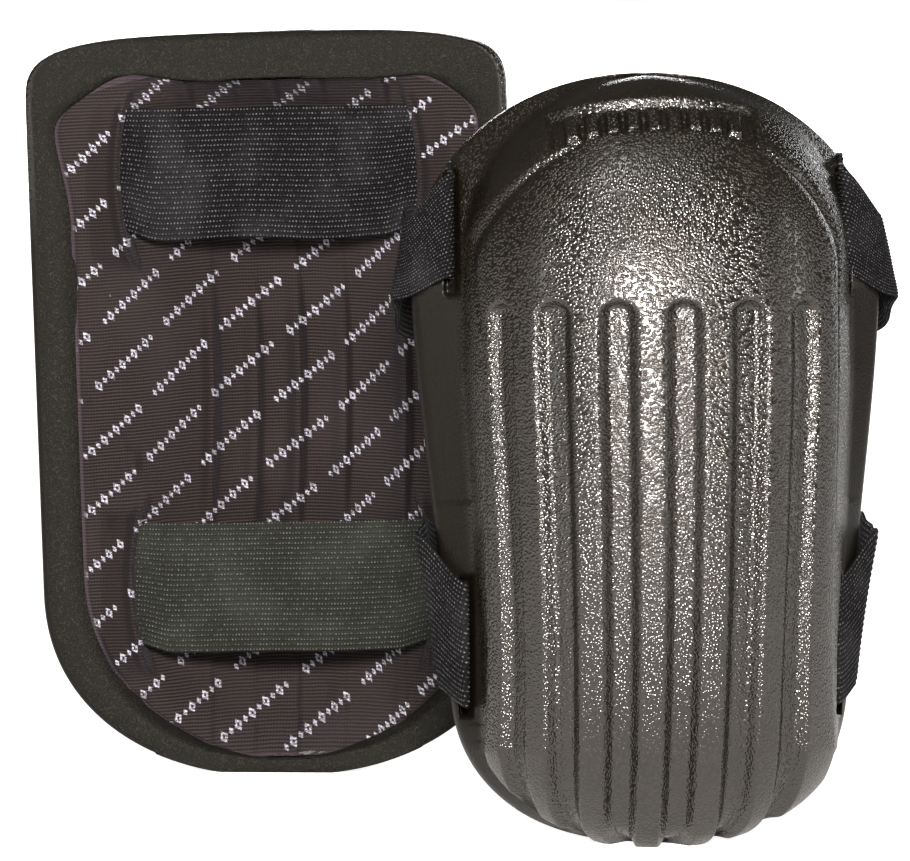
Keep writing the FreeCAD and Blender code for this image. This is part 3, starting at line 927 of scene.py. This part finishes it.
def simulate_padding(side, x, z):
    """Puffs a coarse copy of the padding as cloth, and says how far each grid point of its face moved."""
    obj = padding_copy(side, x, z)
    rest = to_pad(vertex_array(obj.data), side)
    loose = free_to_puff(rest, side)
    pins = obj.vertex_groups.new(name="sewn")
    pins.add([int(i) for i in np.nonzero(~loose)[0]], 1.0, "REPLACE")
    cloth = obj.modifiers.new("cloth", "CLOTH")
    cloth.settings.vertex_group_mass = "sewn"
    cloth.settings.use_pressure = True
    cloth.settings.uniform_pressure_force = SIM_PRESSURE
    cloth.settings.shrink_min = SIM_SHRINK
    cloth.settings.effector_weights.gravity = 0.0
    cloth.point_cache.frame_start = 1
    cloth.point_cache.frame_end = SIM_FRAMES
    for step in range(1, SIM_FRAMES + 1):
        bpy.context.scene.frame_set(step)
    evaluated = obj.evaluated_get(bpy.context.evaluated_depsgraph_get())
    moved = to_pad(vertex_array(evaluated.to_mesh()), side)
    evaluated.to_mesh_clear()
    bpy.data.objects.remove(obj)
    bpy.context.scene.frame_set(1)
    return spread_to_grid(rest[loose], (moved - rest)[loose, 1], x, z)


def spread_to_grid(places, push, x, z):
    """Averages the pushes of the nearest face points at each grid point, within the limit."""
    tree = KDTree(len(places))
    for index, place in enumerate(places):
        tree.insert((place[0], place[2], 0.0), index)
    tree.balance()
    field = np.zeros_like(x)
    for at in np.ndindex(x.shape):
        near = tree.find_n((x[at], z[at], 0.0), 5)
        weights = [1.0 / (distance + 0.6) ** 2 for _, _, distance in near]
        if near[0][2] < 6.0:
            field[at] = sum(w * push[index] for w, (_, index, _) in zip(weights, near)) / sum(weights)
    return np.clip(field, -SWELL_LIMIT, SWELL_LIMIT)


def lining_swell(side, x, z):
    coarse = simulate_padding(side, x[::SIM_STRIDE, ::SIM_STRIDE], z[::SIM_STRIDE, ::SIM_STRIDE])
    rows, columns = (np.arange(0, size, SIM_STRIDE) for size in x.shape)
    wide = np.stack([np.interp(np.arange(x.shape[1]), columns, row) for row in coarse])
    return np.stack([np.interp(np.arange(x.shape[0]), rows, column) for column in wide.T], 1)


# ---- materials

class Nodes:
    """Short calls for building a material's node tree. Sizes and depths are in millimetres."""

    def __init__(self, name):
        self.material = bpy.data.materials.new(name)
        self.material.use_nodes = True
        self.tree = self.material.node_tree
        self.shader = self.tree.nodes["Principled BSDF"]
        self.coordinates = self.tree.nodes.new("ShaderNodeTexCoord").outputs["Object"]

    def put(self, socket, value):
        """Feeds a socket from a number, a colour or another node's output."""
        if isinstance(value, bpy.types.NodeSocket):
            self.tree.links.new(value, socket)
        else:
            socket.default_value = value

    def node(self, kind, output, inputs, **settings):
        """A new node with these settings and inputs. Returns one of its outputs."""
        node = self.tree.nodes.new("ShaderNode" + kind)
        for name, value in settings.items():
            setattr(node, name, value)
        for name, value in inputs.items():
            self.put(node.inputs[name], value)
        return node.outputs[output]

    def math(self, operation, a, b=0.0, c=0.0):
        return self.node("Math", 0, {0: a, 1: b, 2: c}, operation=operation)

    def add(self, a, b):
        return self.math("ADD", a, b)

    def times(self, a, b):
        return self.math("MULTIPLY", a, b)

    def scaled(self, value, factor, offset):
        """value * factor + offset"""
        return self.math("MULTIPLY_ADD", value, factor, offset)

    def wave(self, value, pitch):
        """A sine from 0 to 1 that repeats at each pitch."""
        return self.scaled(self.math("SINE", self.times(value, 2.0 * math.pi / pitch)), 0.5, 0.5)

    def repeat(self, value, step):
        """The number of the cell that a value falls in, and its offset from that cell's middle."""
        cell = self.math("FLOOR", self.math("DIVIDE", value, step))
        inside = self.math("SUBTRACT", value, self.times(cell, step))
        return cell, self.math("SUBTRACT", inside, step / 2.0)

    def odd(self, cell):
        """1 in every other cell, else 0."""
        return self.math("MODULO", self.math("ABSOLUTE", cell), 2.0)

    def noise(self, size, detail=3.0, roughness=0.5):
        return self.node("TexNoise", "Fac", {"Vector": self.coordinates, "Scale": 1.0 / (size * MM),
                                             "Detail": detail, "Roughness": roughness})

    def cells(self, size, feature="F1", **more):
        inputs = {"Vector": self.coordinates, "Scale": 1.0 / (size * MM), **more}
        return self.node("TexVoronoi", "Distance", inputs, feature=feature)

    def ramp(self, value, low, high, start=0.0, end=1.0):
        """A smooth step from start at low to end at high."""
        inputs = {"Value": value, "From Min": low, "From Max": high, "To Min": start, "To Max": end}
        return self.node("MapRange", "Result", inputs, interpolation_type="SMOOTHSTEP")

    def mix(self, share, a, b):
        """Colour a where the share is 0, and b where it is 1."""
        return self.node("Mix", "Result", {"Factor": share, "A": a, "B": b}, data_type="RGBA")

    def attribute(self, name, output="Fac"):
        """What the mesh carries at each point: a number, or three numbers from Vector."""
        return self.node("Attribute", output, {}, attribute_name=name)

    def vector_parts(self, name):
        """The first two numbers of a vector that the mesh carries at each point."""
        vector = self.attribute(name, "Vector")
        return (self.node("SeparateXYZ", part, {0: vector}) for part in ("X", "Y"))

    def bump(self, height, depth, **below):
        """A normal from relief of a given depth, over the normal below if there is one."""
        return self.node("Bump", "Normal", {"Height": height, "Distance": depth * MM, **below})

    def finish(self, colour, roughness, normal=None, specular=0.5, sheen=0.0, sheen_tint=None):
        for name, value in (("Base Color", colour), ("Roughness", roughness), ("Sheen Roughness", 0.6),
                            ("Specular IOR Level", specular), ("Sheen Weight", sheen)):
            self.put(self.shader.inputs[name], value)
        if sheen_tint:
            self.shader.inputs["Sheen Tint"].default_value = sheen_tint
        if normal is not None:
            self.tree.links.new(normal, self.shader.inputs["Normal"])
        return self.material


def rgb(r, g, b):
    return (r, g, b, 1.0)


def shell_material():
    """Moulded closed-cell foam: olive black, pebble grained on the dome and finely pitted behind."""
    n = Nodes("moulded_foam")
    back = n.attribute("back")
    cup = n.attribute("cup")
    pebbles = n.ramp(n.cells(0.84), 0.1, 0.72, 1.0, 0.0)
    fine = n.noise(0.45, 2.0, 0.6)
    wide = n.noise(14.0, 2.0, 0.5)
    pits = n.ramp(n.noise(0.55, 3.0, 0.7), 0.42, 0.62)

    dome = n.mix(n.ramp(pebbles, 0.2, 0.9), rgb(0.0040, 0.0029, 0.0015), rgb(0.0098, 0.0073, 0.0040))
    dome = n.mix(n.ramp(wide, 0.35, 0.7, 0.0, 0.35), dome, rgb(0.011, 0.0083, 0.0047))
    front = n.mix(cup, rgb(0.0052, 0.0043, 0.0032), dome)
    behind = n.mix(pits, rgb(0.0028, 0.0027, 0.0020), rgb(0.0150, 0.0140, 0.0105))
    colour = n.mix(back, front, behind)

    front_roughness = n.add(n.ramp(fine, 0.3, 0.7, 0.17, 0.27), n.scaled(cup, -0.16, 0.16))
    roughness = n.add(front_roughness, n.times(back, 0.22))

    grain = n.times(n.add(pebbles, n.times(fine, 0.22)), n.scaled(cup, 0.75, 0.25))
    height = n.add(n.times(grain, n.math("SUBTRACT", 1.0, back)), n.times(pits, n.times(back, 0.8)))
    normal = n.bump(wide, 0.5, Strength=0.5, Normal=n.bump(height, 0.16))
    return n.finish(colour, roughness, normal, specular=n.scaled(cup, 0.64, 0.16))


def weave_height(n, stitch_length, stagger):
    """Rows of small raised stitches, each row shifted along the strap by the stagger in radians."""
    along, across = n.vector_parts("weave")
    row = n.scaled(n.math("COSINE", n.times(across, 2.0 * math.pi / WEAVE_PITCH)), -0.5, 0.5)
    shift = n.times(n.math("FLOOR", n.math("DIVIDE", across, WEAVE_PITCH)), stagger)
    turn = n.add(n.times(along, 2.0 * math.pi / stitch_length), shift)
    stitch = n.scaled(n.math("COSINE", turn), -0.5, 0.5)
    return n.times(row, n.scaled(stitch, 0.65, 0.35))


def webbing_material(name, dark, light, stitch_length, stagger):
    """Knitted elastic webbing: near-black rows of raised stitches with dark gaps and a little fuzz; the
    raised stitch tops are coloured light as a painted highlight, speckled by the fuzz.
    """
    n = Nodes(name)
    height = weave_height(n, stitch_length, stagger)
    fuzz = n.noise(0.7, 3.0, 0.7)
    wear = n.noise(18.0, 2.0, 0.5)
    # Painted highlight: the light colour is laid on the raised stitch tops, speckled by the fuzz.
    painted_stitch_highlight = n.times(n.ramp(height, 0.45, 1.0), n.ramp(fuzz, 0.42, 0.60, 0.05, 1.0))
    colour = n.mix(n.ramp(wear, 0.4, 0.75, 0.0, 0.08), n.mix(painted_stitch_highlight, dark, light), light)
    return n.finish(colour, 0.8, n.bump(n.add(height, n.times(fuzz, 0.3)), 0.30), specular=0.12)


def diagonal_print(n, x, z):
    """A printed motif on rising diagonals: chains of small diamonds, every other row turned over."""
    slope = math.radians(PRINT_SLOPE)
    u = n.math("SUBTRACT", n.times(z, math.sin(slope)), n.times(x, math.cos(slope)))
    v = n.add(n.times(z, math.cos(slope)), n.times(x, math.sin(slope)))
    row, height = n.repeat(v, PRINT_ROW)
    odd_row = n.odd(row)
    _, place = n.repeat(n.add(u, n.times(odd_row, PRINT_STEP * 0.45)), PRINT_STEP)
    flip = n.scaled(odd_row, -2.0, 1.0)
    place, height = n.times(place, flip), n.times(height, flip)
    beat, off = n.repeat(place, PRINT_BEAT)
    odd_beat = n.odd(beat)
    reach = n.add(n.math("ABSOLUTE", off), n.times(n.math("ABSOLUTE", height), 0.62))
    size = n.scaled(odd_beat, -0.45, 1.25)
    diamond = n.ramp(n.math("SUBTRACT", reach, size), -0.25, 0.05, 1.0, 0.0)
    hollow = n.math("MAXIMUM", n.ramp(reach, 0.30, 0.50), odd_beat)
    in_chain = n.ramp(n.math("ABSOLUTE", place), PRINT_HALF - 0.2, PRINT_HALF, 1.0, 0.0)
    return n.times(n.times(diamond, hollow), in_chain)


def lining_material():
    """Ribbed knit in plum charcoal with a worn pale print, a fuzzy hem and painted shade on the steep sides
    of its folds.
    """
    n = Nodes("ribbed_knit")
    x, z = n.vector_parts("knit")
    hem = n.attribute("hem")
    wobble = n.times(n.math("SUBTRACT", n.noise(7.0, 2.0, 0.5), 0.5), 0.5)
    rib = n.wave(n.add(z, wobble), KNIT_ROW)
    fuzz = n.noise(0.5, 3.0, 0.7)
    height = n.add(n.times(rib, n.scaled(n.wave(x, KNIT_COLUMN), 0.35, 0.65)), n.times(fuzz, 0.4))

    yarn = n.mix(n.ramp(height, 0.3, 1.15), rgb(0.0058, 0.0042, 0.0041), rgb(0.033, 0.0250, 0.0240))
    yarn = n.mix(n.ramp(n.noise(26.0, 2.0, 0.5), 0.35, 0.75, 0.0, 0.3), yarn, rgb(0.030, 0.023, 0.024))
    # Painted shade: the yarn colour is darkened on the steep sides of the folds, where shade falls.
    yarn = n.mix(n.times(n.attribute("painted_fold_shade"), 0.85), yarn, rgb(0.0035, 0.0025, 0.0025))
    ink = n.times(diagonal_print(n, x, z), n.ramp(fuzz, 0.38, 0.60, 0.10, 1.0))
    ink = n.times(n.times(ink, n.ramp(rib, 0.0, 0.5, 0.45, 1.0)), n.math("SUBTRACT", 1.0, hem))
    colour = n.mix(ink, yarn, rgb(0.50, 0.50, 0.60))
    colour = n.mix(n.times(n.ramp(hem, 0.25, 0.9), 0.35), colour, rgb(0.075, 0.055, 0.075))
    return n.finish(colour, 0.9, n.bump(height, 0.28), specular=0.12, sheen=0.05,
                    sheen_tint=rgb(0.72, 0.66, 0.80))


def pile_material():
    """Short looped pile of the closure's soft half."""
    n = Nodes("loop_pile")
    loops = n.cells(0.6, "SMOOTH_F1", Smoothness=0.4)
    curl = n.noise(0.8, 4.0, 0.75)
    height = n.add(n.math("SUBTRACT", 1.0, loops), n.times(curl, 0.8))
    colour = n.mix(n.ramp(curl, 0.35, 0.65), rgb(0.008, 0.008, 0.009), rgb(0.032, 0.031, 0.033))
    return n.finish(colour, 0.92, n.bump(height, 0.5), specular=0.2, sheen=0.3,
                    sheen_tint=rgb(0.6, 0.6, 0.62))


def strap_end_material():
    """Flat woven strap end, closer and smoother than the elastic."""
    n = Nodes("strap_end_twill")
    along, across = n.vector_parts("weave")
    twill = n.wave(n.add(along, n.times(across, 1.6)), 1.1)
    fuzz = n.noise(0.4, 3.0, 0.6)
    colour = n.mix(n.times(twill, fuzz), rgb(0.010, 0.010, 0.010), rgb(0.045, 0.044, 0.044))
    normal = n.bump(n.add(twill, n.times(fuzz, 0.3)), 0.18)
    return n.finish(colour, 0.72, normal, specular=0.35, sheen=0.1)


def thread_material():
    """Twisted black thread."""
    n = Nodes("sewing_thread")
    twist = n.noise(0.25, 2.0, 0.5)
    colour = n.mix(twist, rgb(0.012, 0.012, 0.012), rgb(0.05, 0.05, 0.05))
    return n.finish(colour, 0.55, n.bump(twist, 0.06), specular=0.45)


def cushion_material():
    """Open-cell grey foam."""
    n = Nodes("cushion_foam")
    cells = n.cells(0.9)
    colour = n.mix(n.ramp(cells, 0.1, 0.6), rgb(0.045, 0.045, 0.047), rgb(0.13, 0.13, 0.135))
    return n.finish(colour, 0.95, n.bump(cells, 0.3), specular=0.15)


# ---- floor, light and camera

def build_floor():
    """A pale floor that the camera sees as white and that gives off little light."""
    bpy.ops.mesh.primitive_plane_add(size=FLOOR_SIZE, location=(0.0, 0.0, CAD_BOX[0][2]))
    floor = bpy.context.object
    floor.name = "studio_floor"
    n = Nodes("pale_floor")
    colour = n.mix(n.noise(400.0, 2.0, 0.5), rgb(0.86, 0.86, 0.86), rgb(0.90, 0.90, 0.90))
    n.put(n.shader.inputs["Emission Color"], colour)
    seen = n.tree.nodes.new("ShaderNodeLightPath").outputs["Is Camera Ray"]
    n.put(n.shader.inputs["Emission Strength"], n.scaled(seen, FLOOR_GLOW, FLOOR_LIGHT))
    floor.data.materials.append(n.finish(colour, 0.9, specular=0.1))


def build_world():
    """White where the camera looks past the object, and a softer grey for the light it gives."""
    world = bpy.data.worlds.new("studio")
    world.use_nodes = True
    bpy.context.scene.world = world
    tree = world.node_tree
    mix = tree.nodes.new("ShaderNodeMix")
    mix.data_type = "FLOAT"
    mix.inputs["A"].default_value, mix.inputs["B"].default_value = WORLD_LIGHT, 1.0
    seen = tree.nodes.new("ShaderNodeLightPath").outputs["Is Camera Ray"]
    tree.links.new(seen, mix.inputs["Factor"])
    background = tree.nodes["Background"]
    background.inputs["Color"].default_value = rgb(*WHITE)
    tree.links.new(mix.outputs["Result"], background.inputs["Strength"])


def aimed_object(name, data, target, offset):
    """A light or camera at an offset from its target, turned to face it."""
    obj = link_object(name, data)
    obj.location = target + offset
    obj.rotation_mode = "QUATERNION"
    obj.rotation_quaternion = (-offset).to_track_quat("-Z", "Y")
    return obj


def build_lights():
    """Softboxes that face the knee of the right pad. The camera doesn't see them."""
    knee = Vector(row_point(0.0, -CUP_DEPTH, DEEPEST_Z, "right"))
    for name, offset, size, power, tint in SOFTBOXES:
        light = bpy.data.lights.new(name, "AREA")
        light.shape = "RECTANGLE"
        light.size, light.size_y = size
        light.energy = power
        light.color = tint
        aimed_object(name, light, knee, Vector(offset)).visible_camera = False


def build_camera():
    """A long lens that looks at the pair from a little above."""
    camera = bpy.data.cameras.new("camera")
    camera.sensor_width = SENSOR_WIDTH
    camera.lens = SENSOR_WIDTH * CAMERA_DISTANCE / FRAME_WIDTH
    camera.clip_start, camera.clip_end = 0.1, 100.0
    right, left = PAD["right"].translation, PAD["left"].translation
    target = Vector(((right.x + left.x) / 2.0 + CAMERA_SHIFT_X, right.y, CAD_BOX[0][2] + CAMERA_TARGET_Z))
    rise = math.radians(CAMERA_ELEVATION)
    back = Vector((0.0, -math.cos(rise), math.sin(rise))) * CAMERA_DISTANCE
    bpy.context.scene.camera = aimed_object("camera", camera, target, back)


# ---- the build

bpy.context.scene.view_settings.view_transform = "Standard"
shell_foam = shell_material()
knit = lining_material()
cushion_foam = cushion_material()
# The second, light colour of each webbing is its painted highlight on the raised stitch tops.
dotted_webbing = webbing_material("dotted_webbing", rgb(0.0012, 0.0012, 0.0014), rgb(0.11, 0.11, 0.12),
                                  stitch_length=0.95, stagger=2.1)
twill_webbing = webbing_material("twill_webbing", rgb(0.0100, 0.0108, 0.0095), rgb(0.100, 0.108, 0.095),
                                 stitch_length=0.9, stagger=1.05)
pile = pile_material()
end_twill = strap_end_material()
thread = thread_material()
for side in ("right", "left"):
    build_shell(side, shell_foam)
    build_cushion(side, cushion_foam)
    build_lining(side, knit)
    for strap in STRAPS:
        build_inner_band(side, strap, dotted_webbing if strap == "upper" else twill_webbing)
        build_leg_band(side, strap, dotted_webbing)
        build_loop_patch(side, strap, pile)
        tab_grid, tab_normal = build_hook_tab(side, strap, end_twill)
        build_stitching(side, strap, tab_grid, tab_normal, thread)
build_floor()
build_world()
build_lights()
build_camera()
